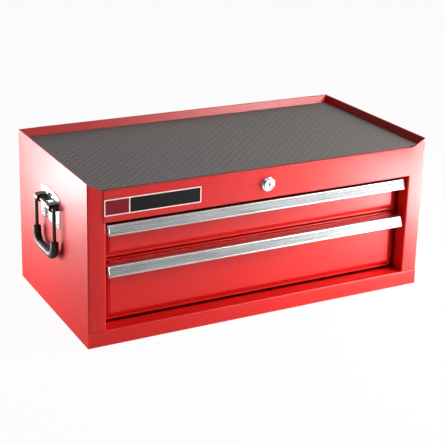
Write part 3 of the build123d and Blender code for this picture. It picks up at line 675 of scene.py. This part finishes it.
def mat_tree() -> Tree:
    """A sheet with raised lozenges in rows, each turned a right angle from its neighbours.

    Returns:
        The tree, with the sheet's and the lozenges' sizes as inputs.
    """
    crown = 0.6  # The top of a lozenge, as a share of its foot.
    tree = Tree("embossed_mat", "Width", "Depth", "Sheet", "Relief", "Pitch", "Length", "Breadth")
    size = tree.inputs
    block = tree.vector(X=size["Width"], Y=size["Depth"], Z=size["Sheet"])
    sheet = tree.add("MeshCube", {"Size": block}, out="Mesh")
    centred = tree.vector(Z=tree.maths("MULTIPLY", size["Sheet"], 0.5))
    base = tree.add("Transform", {"Geometry": sheet, "Translation": centred})
    counts, spans = [], []
    for label in ("Width", "Depth"):
        count = tree.maths("FLOOR", tree.maths("DIVIDE", size[label], size["Pitch"]))
        counts.append(count)
        spans.append(tree.maths("MULTIPLY", size["Pitch"], tree.maths("SUBTRACT", count, 1.0)))
    grid = tree.add("MeshGrid", {
        "Size X": spans[0], "Size Y": spans[1], "Vertices X": counts[0],
        "Vertices Y": counts[1]}, out="Mesh")
    raised = tree.vector(Z=size["Sheet"])
    grid = tree.add("Transform", {"Geometry": grid, "Translation": raised})
    # The grid counts its points up each column. Where a column has an even number of them, each
    # column starts one later, so that neighbours differ across columns too.
    index = tree.add("InputIndex")
    column = tree.maths("FLOOR", tree.maths("DIVIDE", tree.maths("ADD", index, 0.5), counts[1]))
    late = tree.maths("ADD", 1.0, tree.maths("FLOORED_MODULO", counts[1], 2.0))
    moved = tree.maths("ADD", index, tree.maths("MULTIPLY", column, late))
    odd = tree.maths("FLOORED_MODULO", moved, 2.0)
    turn = tree.vector(Z=tree.maths("MULTIPLY", tree.maths("ADD", odd, 0.5), pi / 2))
    lozenge = tree.add("MeshCone", {
        "Vertices": 4, "Radius Top": crown, "Radius Bottom": 1.0, "Depth": 1.0}, out="Mesh")
    scale = tree.vector(X=tree.maths("MULTIPLY", size["Length"], 0.5),
                        Y=tree.maths("MULTIPLY", size["Breadth"], 0.5), Z=size["Relief"])
    marks = tree.add("InstanceOnPoints", {
        "Points": grid, "Instance": lozenge, "Rotation": turn, "Scale": scale})
    tree.finish(tree.join(base, marks), smooth=False)
    return tree


def sleeve_tree() -> Tree:
    """A round sleeve along a path, with rounded ends and a few rings near each end.

    Returns:
        The tree, with the sleeve's radius and the sizes of its ends and rings as inputs.
    """
    sides = 28
    taper = 0.75  # 1 closes the ends to a point; less leaves a flat end.
    tree = Tree("sleeve", "Radius", "End Rounding", "Ring Pitch", "Ring Depth", "Ring Zone", "Step")
    size = tree.inputs
    path = tree.add("MeshToCurve", {"Mesh": size["Geometry"]})
    path = tree.add("ResampleCurve", {"Curve": path, "Length": size["Step"]}, mode="LENGTH")
    run = tree.add("SplineParameter", out="Length")
    whole = tree.add("SplineLength", out="Length")
    near = tree.maths("MINIMUM", run, tree.maths("SUBTRACT", whole, run))
    share = tree.maths("MINIMUM", tree.maths("DIVIDE", near, size["End Rounding"]), 1.0)
    square = tree.maths("POWER", tree.maths("SUBTRACT", 1.0, share), 2.0)
    cap = tree.maths("SQRT", tree.maths("SUBTRACT", 1.0, tree.maths("MULTIPLY", square, taper)))
    turns = tree.maths("MULTIPLY", tree.maths("DIVIDE", near, size["Ring Pitch"]), tau)
    wave = tree.maths("MULTIPLY", tree.maths("COSINE", turns), 0.5)
    dip = tree.maths("MULTIPLY", tree.maths("SUBTRACT", 0.5, wave), size["Ring Depth"])
    zone = tree.maths("LESS_THAN", near, size["Ring Zone"])
    radius = tree.maths("SUBTRACT", tree.maths("MULTIPLY", size["Radius"], cap),
                        tree.maths("MULTIPLY", dip, zone))
    outline = tree.add("CurvePrimitiveCircle", {"Resolution": sides, "Radius": 1.0})
    tree.finish(tree.add("CurveToMesh", {
        "Curve": path, "Profile Curve": outline, "Scale": radius, "Fill Caps": True}))
    return tree


def points_mesh(name: str, points: Iterable[Vector], axes: Iterable[Vector] = ()) -> Mesh:
    """Makes a mesh of loose points, each with an axis where one is given.

    Args:
        name: the mesh's name.
        points: the places.
        axes: the direction of what stands at each.

    Returns:
        The new mesh.
    """
    mesh = bpy.data.meshes.new(name)
    mesh.from_pydata([tuple(point) for point in points], [], [])
    directions = [component for axis in axes for component in axis]
    if directions:
        mesh.attributes.new("axis", "FLOAT_VECTOR", "POINT").data.foreach_set("vector", directions)
    return mesh


# ---------------- fasteners
@dataclass
class Rivets:
    """The rivets of one node, as domed heads on their shanks."""

    node: str
    body: str
    axis: int
    finish: Finish = ZINC
    shank_radius: float = 2.2 * MM
    head_height: float = 1.2 * MM
    sharp_angle: float = radians(40)
    one_head: bool = False

    def build(self, tree: Tree) -> Object:
        """Grows the rivets in place of their node.

        Args:
            tree: the rivets' tree.

        Returns:
            The finished piece.
        """
        places, axes, length, radius = [], [], 0.0, 0.0
        for low, high in islands(self.node):
            middle = (low + high) / 2
            across = (self.axis + 1) % 3
            radius = (high - low)[across] / 2
            length = (high - low)[self.axis] / 2 - self.head_height
            for sign in (-1, 1):
                if self.one_head and sign != self.head_side(middle):
                    continue
                direction = Vector((0, 0, 0))
                direction[self.axis] = sign
                end = (high if sign > 0 else low)[self.axis] - sign * self.head_height
                point = middle.copy()
                point[self.axis] = end
                places.append(point)
                axes.append(direction)
        if self.one_head:
            length = 2 * length + self.head_height
        base = points_mesh(self.node, places, axes)
        piece = tree.grow(
            f"{self.node}_domed", base, self.finish, Head_Radius=radius,
            Head_Height=self.head_height, Shank_Radius=self.shank_radius, Shank_Length=length)
        piece.data.set_sharp_from_angle(angle=self.sharp_angle)
        return placed(piece, self.body, self.finish, self.node)

    def head_side(self, middle: Vector) -> int:
        """Tells which way a one-headed rivet's head points, which is away from its slide.

        Args:
            middle: the centre of the rivet.

        Returns:
            1 or -1 along the rivet's axis.
        """
        outwards = 1 if middle[self.axis] > 0 else -1
        return outwards if self.body == "cabinet" else -outwards


# ---------------- cabinet
@dataclass
class Cabinet:
    """The fixed sheet-steel case with its mat and badge plate."""

    mat_relief: float = 0.4 * MM
    mark_pitch: float = 8.4 * MM
    mark_length: float = 8.8 * MM
    mark_breadth: float = 2.8 * MM
    badge_border: float = 1.7 * MM
    badge_square: float = 44.0 * MM
    badge_corner: float = 0.8 * MM
    ink_height: float = 0.08 * MM

    def build(self) -> None:
        """Builds the case, the mat and the badge plate."""
        for node in ("back_panel", "bottom_panel", "bottom_rail", "fascia", "top_tray"):
            placed(softened(node, RED_POWDER), "cabinet", RED_POWDER, node)
        for side in Side:
            stem = side.value
            panel = f"side_panel_{stem}"
            placed(softened(panel, RED_POWDER), "cabinet", RED_POWDER, panel)
            dress(RED_POWDER, f"slide_upright_front_{stem}", f"slide_upright_rear_{stem}")
        self.mat()
        self.badge()

    def mat(self) -> Object:
        """Builds the embossed rubber mat in the tray.

        Returns:
            The mat.
        """
        low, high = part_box("top_mat")
        size = high - low
        base = points_mesh("top_mat", [Vector((0, 0, 0))])
        mat = mat_tree().grow(
            "top_mat_embossed", base, MAT_RUBBER, Width=size.x, Depth=size.y,
            Sheet=size.z - self.mat_relief, Relief=self.mat_relief, Pitch=self.mark_pitch,
            Length=self.mark_length, Breadth=self.mark_breadth)
        middle = (low + high) / 2
        mat.data.transform(Matrix.Translation((middle.x, middle.y, low.z)))
        return placed(mat, "cabinet", MAT_RUBBER, "top_mat")

    def badge(self) -> None:
        """Builds the badge plate: a pale border and divider round two bare fields."""
        low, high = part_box("badge_plate")
        left = low.x + self.badge_border
        right = high.x - self.badge_border
        divide = low.x + self.badge_square
        fields = (
            ("badge_border", low.x, high.x, 0.0, INK_PALE),
            ("badge_field_wine", left, divide, self.badge_border, INK_WINE),
            ("badge_field_black", divide + self.badge_border, right, self.badge_border, INK_BLACK),
        )
        for name, x_from, x_to, inset, ink in fields:
            front = low.y - (self.ink_height if inset else 0.0)
            z_range = (low.z + inset, high.z - inset)
            mesh = slab(name, (x_from, x_to), (front, high.y), z_range, self.badge_corner)
            replaced = () if inset else ("badge_plate",)
            placed(weighted(linked(name, mesh, ink)), "cabinet", ink, *replaced)


def corner_ring(x: tuple[float, float], z: tuple[float, float], y: float, radius: float,
                steps: int = 5) -> list[Vector]:
    """The outline of an upright rectangle with round corners.

    Args:
        x: its left and right.
        z: its bottom and top.
        y: its depth.
        radius: the radius of its corners.
        steps: the points at each corner.

    Returns:
        The points, once round.
    """
    ring = []
    corners = ((x[1], z[1]), (x[0], z[1]), (x[0], z[0]), (x[1], z[0]))
    for quarter, (corner_x, corner_z) in enumerate(corners):
        inward_x = -1 if corner_x == x[1] else 1
        inward_z = -1 if corner_z == z[1] else 1
        for step in range(steps):
            angle = (quarter + step / (steps - 1)) * pi / 2
            ring.append(Vector((corner_x + radius * (inward_x + cos(angle)), y,
                                corner_z + radius * (inward_z + sin(angle)))))
    return ring


def slab(name: str, x: tuple[float, float], y: tuple[float, float], z: tuple[float, float],
         corner: float, edge: float = 0.15 * MM) -> Mesh:
    """An upright plate with round corners and a slightly softened front edge.

    Args:
        name: the mesh's name.
        x: its left and right.
        y: its front and back.
        z: its bottom and top.
        corner: the radius of its corners.
        edge: the width of the softening, at most a third of the plate's thickness.

    Returns:
        The new mesh.
    """
    edge = min(edge, (y[1] - y[0]) / 3)
    inner_x, inner_z = (x[0] + edge, x[1] - edge), (z[0] + edge, z[1] - edge)
    rings = [corner_ring(x, z, y[1], corner), corner_ring(x, z, y[0] + edge, corner),
             corner_ring(inner_x, inner_z, y[0], corner)]
    return bridged(name, rings, closed=False)


# ---------------- drawers
def filleted(points: Sequence[tuple[float, float]], radius: float,
             steps: int = 5) -> list[tuple[float, float]]:
    """Rounds the inner corners of a line.

    Args:
        points: the corners, in a plane.
        radius: the radius, less where a run is short.
        steps: the points on each arc.

    Returns:
        The points of the rounded line.
    """
    most = 1 / 2.2  # Two arcs on one run leave a little of it straight.
    line = [points[0]]
    for before, corner, after in zip(points, points[1:], points[2:]):
        middle, first, last = Vector(corner), Vector(before), Vector(after)
        reach = min(radius, (first - middle).length * most, (last - middle).length * most)
        start = middle + (first - middle).normalized() * reach
        end = middle + (last - middle).normalized() * reach
        for step in range(steps):
            share = step / (steps - 1)
            line.append(tuple(start.lerp(middle, share).lerp(middle.lerp(end, share), share)))
    return [*line, points[-1]]


@dataclass
class Drawer:
    """One drawer with its pressed front, pull, tray and slides."""

    level: Level
    sheet: float = 1.2 * MM
    lip: float = 4.5 * MM
    bevel_depth: float = 6.0 * MM
    bevel_run: float = 9.0 * MM
    crease: float = 2.4 * MM
    corner: float = 1.4 * MM

    @property
    def stem(self) -> str:
        """Gives the start of the names of this drawer's nodes.

        Returns:
            The drawer's body, too.
        """
        return f"drawer_{self.level.value}"

    def build(self, rivets: Tree, balls: Tree) -> None:
        """Builds the drawer.

        Args:
            rivets: the rivets' tree.
            balls: the balls' tree.
        """
        self.front()
        dress(RED_POWDER, f"{self.stem}_tray")
        for node, edge_mm in ((f"{self.stem}_pull", 0.3), (f"{self.stem}_pull_caps", 0.5)):
            piece = softened(node, BRUSHED_ALUMINIUM, edge_mm)
            placed(piece, self.stem, BRUSHED_ALUMINIUM, node)
        Rivets(f"{self.stem}_pull_rivets", self.stem, axis=1).build(rivets)
        Rivets(f"{self.stem}_rail_rivets", self.stem, axis=0, one_head=True).build(rivets)
        self.slides(balls)

    def front(self) -> Object:
        """Presses the front: a flat face raised from a rim, every crease rounded.

        Returns:
            The front.
        """
        low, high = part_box(f"{self.stem}_front")
        rim = low.y + self.bevel_depth
        face = self.lip + self.bevel_run
        corners = [(0.0, high.y), (0.0, rim), (self.lip, rim), (face, low.y),
                   (face + self.bevel_run, low.y)]
        rings = []
        for inset, y in filleted(corners, self.crease):
            x_range = (low.x + inset, high.x - inset)
            z_range = (low.z + inset, high.z - min(inset, self.sheet))
            rings.append(corner_ring(x_range, z_range, y, self.corner))
        shape = bmesh.new()
        loops = skin(shape, rings)
        shape.faces.new(loops[-1])
        shape.normal_update()
        mesh = written(f"{self.stem}_front", shape)
        piece = linked(f"{self.stem}_front_pressed", mesh, RED_POWDER)
        wall = piece.modifiers.new("sheet", "SOLIDIFY")
        wall.thickness = self.sheet
        wall.offset = -1.0
        return placed(weighted(piece), self.stem, RED_POWDER, f"{self.stem}_front")

    def slides(self, tree: Tree) -> None:
        """Dresses the slides and grows their balls.

        Args:
            tree: the balls' tree.
        """
        stem = f"slide_{self.level.value}"
        members = [f"{stem}_{member}_{side.value}"
                   for member in ("outer", "inner", "cage") for side in Side]
        dress(ZINC, f"{self.stem}_catch", *members)
        boxes = islands(f"{stem}_balls")
        base = points_mesh(f"{stem}_balls", [(low + high) / 2 for low, high in boxes])
        radius = (boxes[0][1] - boxes[0][0]).z / 2
        balls = tree.grow(f"{stem}_balls_round", base, BALL_STEEL, Radius=radius)
        placed(balls, f"cages_{self.level.value}", BALL_STEEL, f"{stem}_balls")


# ---------------- lock
@dataclass
class Lock:
    """The cam lock in the fascia, with its rod and locking bar."""

    flange: float = 1.6 * MM
    collar: float = 4.2 * MM
    collar_radius: float = 10.0 * MM
    shank_radius: float = 9.0 * MM
    bore_radius: float = 7.08 * MM
    edge: float = 0.7 * MM
    segments: int = 96

    def build(self) -> None:
        """Builds the lock."""
        self.bezel()
        placed(softened("lock_plug", CHROME, 0.25), "lock_rotor", CHROME, "lock_plug")
        placed(softened("lock_nut", ZINC, 0.4), "cabinet", ZINC, "lock_nut")
        dress(ZINC, "lock_rod", "lock_crank", "lock_rod_bracket", "lock_bar", "lock_hooks",
              "lock_bar_guides")

    def bezel(self) -> Object:
        """Turns the housing: flange, stepped collar with a rolled edge, and shank.

        Returns:
            The housing.
        """
        low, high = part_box("lock_bezel")
        front, back = low.y, high.y
        seat = front + self.collar
        rear = seat + self.flange
        outer = (high.x - low.x) / 2
        outline = [
            (self.bore_radius, back), (self.bore_radius, front + self.edge / 2),
            (self.bore_radius + self.edge, front), (self.collar_radius, front),
            (self.collar_radius, seat), (outer, seat), (outer, rear), (self.shank_radius, rear),
            (self.shank_radius, back), (self.bore_radius, back)]
        centre = (low + high) / 2
        angles = [tau * i / self.segments for i in range(self.segments)]
        rings = [[Vector((centre.x + radius * cos(a), y, centre.z + radius * sin(a)))
                  for a in angles] for radius, y in filleted(outline, self.edge)[:-1]]
        mesh = bridged("lock_bezel", rings, closed=True)
        housing = weighted(linked("lock_bezel_turned", mesh, CHROME))
        return placed(housing, "cabinet", CHROME, "lock_bezel")


# ---------------- side handles
@dataclass
class SideHandle:
    """One folding carrying handle: plate, knuckles, wire bail and rubber sleeve."""

    side: Side
    corner: float = 20.0 * MM
    corner_steps: int = 12
    end_rounding: float = 2.4 * MM
    ring_pitch: float = 3.2 * MM
    ring_depth: float = 0.45 * MM
    ring_zone: float = 9.6 * MM
    step: float = 0.8 * MM

    def build(self, sleeve: Tree) -> None:
        """Builds the handle.

        Args:
            sleeve: the sleeve's tree.
        """
        plate = f"handle_plate_{self.side.value}"
        placed(softened(plate, PLATE_CHROME, 0.5), "cabinet", PLATE_CHROME, plate)
        dress(BLACK_ENAMEL, f"handle_bail_{self.side.value}")
        self.grip(sleeve)

    def grip(self, tree: Tree) -> Object:
        """Draws the rubber sleeve along the bail's lower bar and corners.

        Args:
            tree: the sleeve's tree.

        Returns:
            The sleeve.
        """
        node = f"handle_grip_{self.side.value}"
        low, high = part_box(node)
        radius = (high.x - low.x) / 2
        x = (low.x + high.x) / 2
        y_from, y_to, z = low.y + radius, high.y - radius, low.z + radius
        path = [(x, y_from, high.z)]
        for centre_y, start in ((y_from + self.corner, pi), (y_to - self.corner, 1.5 * pi)):
            for step in range(self.corner_steps + 1):
                angle = start + step / self.corner_steps * pi / 2
                path.append((x, centre_y + self.corner * cos(angle),
                             z + self.corner * (1 + sin(angle))))
        path.append((x, y_to, high.z))
        mesh = bpy.data.meshes.new(node)
        mesh.from_pydata(path, [(i, i + 1) for i in range(len(path) - 1)], [])
        grip = tree.grow(
            f"{node}_sleeve", mesh, GRIP_RUBBER, Radius=radius, End_Rounding=self.end_rounding,
            Ring_Pitch=self.ring_pitch, Ring_Depth=self.ring_depth, Ring_Zone=self.ring_zone,
            Step=self.step)
        return placed(grip, f"bail_{self.side.value}", GRIP_RUBBER, node)


# ---------------- studio
@dataclass(frozen=True)
class SoftBox:
    """One rectangular studio lamp."""

    name: str
    place: tuple[float, float, float]
    aim: tuple[float, float, float]
    width: float
    height: float
    watts: float

    def build(self) -> Object:
        """Hangs the lamp.

        Returns:
            The lamp's object.
        """
        lamp = bpy.data.lights.new(self.name, "AREA")
        lamp.shape = "RECTANGLE"
        lamp.size, lamp.size_y, lamp.energy = self.width, self.height, self.watts
        box = bpy.data.objects.new(self.name, lamp)
        bpy.context.scene.collection.objects.link(box)
        box.location = self.place
        towards = Vector(self.aim) - Vector(self.place)
        box.rotation_euler = towards.to_track_quat("-Z", "Y").to_euler()
        box.visible_camera = False
        log.info("lamp %s: %.1f W", self.name, self.watts)
        return box


# What the lamps point at: the left panel, the front, its lower right part, and the whole chest.
PANEL, FRONT, LOW_RIGHT, WHOLE = (
    (-0.335, 0.0, 0.18), (0.30, -0.17, 0.15), (0.25, -0.17, 0.12), (0.0, 0.0, 0.2))
LAMPS = (
    SoftBox("lamp_front_right_high", (0.8, -0.7, 0.8), FRONT, 0.45, 0.45, 14.0),
    SoftBox("lamp_front_right_low", (1.0, -0.5, 0.1), LOW_RIGHT, 0.4, 0.2, 9.5),
    SoftBox("lamp_front_right_near", (0.62, -0.5, 0.05), LOW_RIGHT, 0.3, 0.1, 2.6),
    SoftBox("lamp_front", (0.0, -2.5, 1.8), WHOLE, 1.2, 1.2, 9.0),
    SoftBox("lamp_right", (2.2, 1.0, 0.5), WHOLE, 1.2, 1.2, 7.4),
    SoftBox("lamp_left", (-1.3, 0.7, 0.12), PANEL, 0.45, 0.3, 16.0),
    SoftBox("lamp_left_rear", (-1.0, 1.2, 0.1), PANEL, 0.4, 0.25, 9.0),
    SoftBox("lamp_left_low", (-0.7, 0.5, 0.06), PANEL, 0.3, 0.1, 1.6),
)


@dataclass
class Studio:
    """The camera, the floor and the light; angles are in degrees."""

    azimuth: float = -28.086
    elevation: float = 17.736
    roll: float = 1.481
    distance: float = 2.0033
    target: tuple[float, float, float] = (-0.0913, -0.169, 0.3029)
    lens: float = 96.23
    shift_y: float = -0.1396
    ambient: float = 0.12
    room: float = 0.1
    floor_half: float = 6.0
    floor_glow: float = 0.95
    floor_roughness: float = 0.9
    backdrop_side: tuple[float, float, float] = (0.9, 0.43, 0.0)
    backdrop_fade: tuple[float, float] = (-0.1, 0.25)

    def build(self) -> None:
        """Builds the studio."""
        bpy.context.scene.view_settings.view_transform = "Standard"
        self.camera()
        self.floor()
        self.world()
        for lamp in LAMPS:
            lamp.build()

    def camera(self) -> Object:
        """Places the camera at the photograph's viewing angle.

        Returns:
            The camera.
        """
        turned, raised, roll = map(radians, (self.azimuth, self.elevation, self.roll))
        back = Vector((sin(turned) * cos(raised), -cos(turned) * cos(raised), sin(raised)))
        right = Vector((cos(turned), sin(turned), 0.0))
        up = back.cross(right)
        right, up = right * cos(roll) + up * sin(roll), up * cos(roll) - right * sin(roll)
        data = bpy.data.cameras.new("camera")
        data.lens, data.shift_y = self.lens, self.shift_y
        camera = bpy.data.objects.new("camera", data)
        bpy.context.scene.collection.objects.link(camera)
        turn = Matrix((right, up, back)).transposed().to_4x4()
        place = Vector(self.target) + back * self.distance
        camera.matrix_world = Matrix.Translation(place) @ turn
        bpy.context.scene.camera = camera
        return camera

    def floor(self) -> Object:
        """Lays the pale floor: plain white to the camera, yet keeping a soft shadow.

        Returns:
            The floor.
        """
        half = self.floor_half
        mesh = bpy.data.meshes.new("floor")
        corners = [(-half, -half, 0), (half, -half, 0), (half, half, 0), (-half, half, 0)]
        mesh.from_pydata(corners, [], [(0, 1, 2, 3)])
        material = bpy.data.materials.new("floor_white_sheet")
        material.use_nodes = True
        tree = material.node_tree
        sheet = tree.nodes["Principled BSDF"]
        sheet.inputs["Base Color"].default_value = linear("#F4F4F3")
        sheet.inputs["Roughness"].default_value = self.floor_roughness
        sheet.inputs["Specular IOR Level"].default_value = 0.0
        seen, _ = self.rays(tree)
        share = add_node(tree, "ShaderNodeMath", {0: seen, 1: self.floor_glow},
                         operation="MULTIPLY")
        white = add_node(tree, "ShaderNodeEmission", {"Color": (1, 1, 1, 1), "Strength": 1.0})
        mix = add_node(tree, "ShaderNodeMixShader", {
            0: share.outputs[0], 1: sheet.outputs[0], 2: white.outputs[0]})
        tree.links.new(mix.outputs[0], tree.nodes["Material Output"].inputs["Surface"])
        mesh.materials.append(material)
        floor = linked("floor", mesh)
        return floor

    @staticmethod
    def rays(tree: NodeTree) -> tuple[NodeSocket, NodeSocket]:
        """Tells a material or the world what kind of ray it meets.

        Args:
            tree: its node tree.

        Returns:
            Whether the ray is the camera's, straight or through glass, and whether it is glossy.
        """
        path = add_node(tree, "ShaderNodeLightPath").outputs
        straight, through = path["Is Camera Ray"], path["Is Transmission Ray"]
        seen = add_node(tree, "ShaderNodeMath", {0: straight, 1: through}, operation="ADD",
                        use_clamp=True)
        return seen.outputs[0], path["Is Glossy Ray"]

    def world(self) -> None:
        """Hangs a white backdrop, which gloss sees fade into the dim room behind the camera."""
        world = bpy.data.worlds.new("studio")
        bpy.context.scene.world = world
        world.use_nodes = True
        tree = world.node_tree
        seen, glossy = self.rays(tree)
        direction = add_node(tree, "ShaderNodeTexCoord").outputs["Generated"]
        towards = add_node(tree, "ShaderNodeVectorMath", {0: direction, 1: self.backdrop_side},
                           operation="DOT_PRODUCT")
        fade_from, fade_to = self.backdrop_fade
        backdrop = add_node(tree, "ShaderNodeMapRange", {
            "Value": towards.outputs["Value"], "From Min": fade_from, "From Max": fade_to,
            "To Min": self.room, "To Max": 1.0})
        gloss = add_node(tree, "ShaderNodeMix", {
            "Factor": glossy, "A": self.ambient, "B": backdrop.outputs["Result"]})
        strength = add_node(tree, "ShaderNodeMix", {
            "Factor": seen, "A": gloss.outputs["Result"], "B": 1.0})
        background = tree.nodes["Background"]
        background.inputs["Color"].default_value = (1.0, 1.0, 1.0, 1.0)
        tree.links.new(strength.outputs["Result"], background.inputs["Strength"])


def main() -> None:
    """Builds the studio and the chest."""
    logging.basicConfig(level=logging.INFO, format="%(name)s %(message)s")
    Studio().build()
    Cabinet().build()
    rivets, balls, sleeve = rivet_tree(), ball_tree(), sleeve_tree()
    for level in Level:
        Drawer(level).build(rivets, balls)
    Lock().build()
    Rivets("slide_rivets", "cabinet", axis=0, one_head=True).build(rivets)
    Rivets("handle_rivets", "cabinet", axis=0, finish=PLATE_CHROME).build(rivets)
    knuckles = softened("handle_knuckles", BLACK_ENAMEL, 0.6)
    placed(knuckles, "cabinet", BLACK_ENAMEL, "handle_knuckles")
    for side in Side:
        SideHandle(side).build(sleeve)


if __name__ == "__main__":
    main()
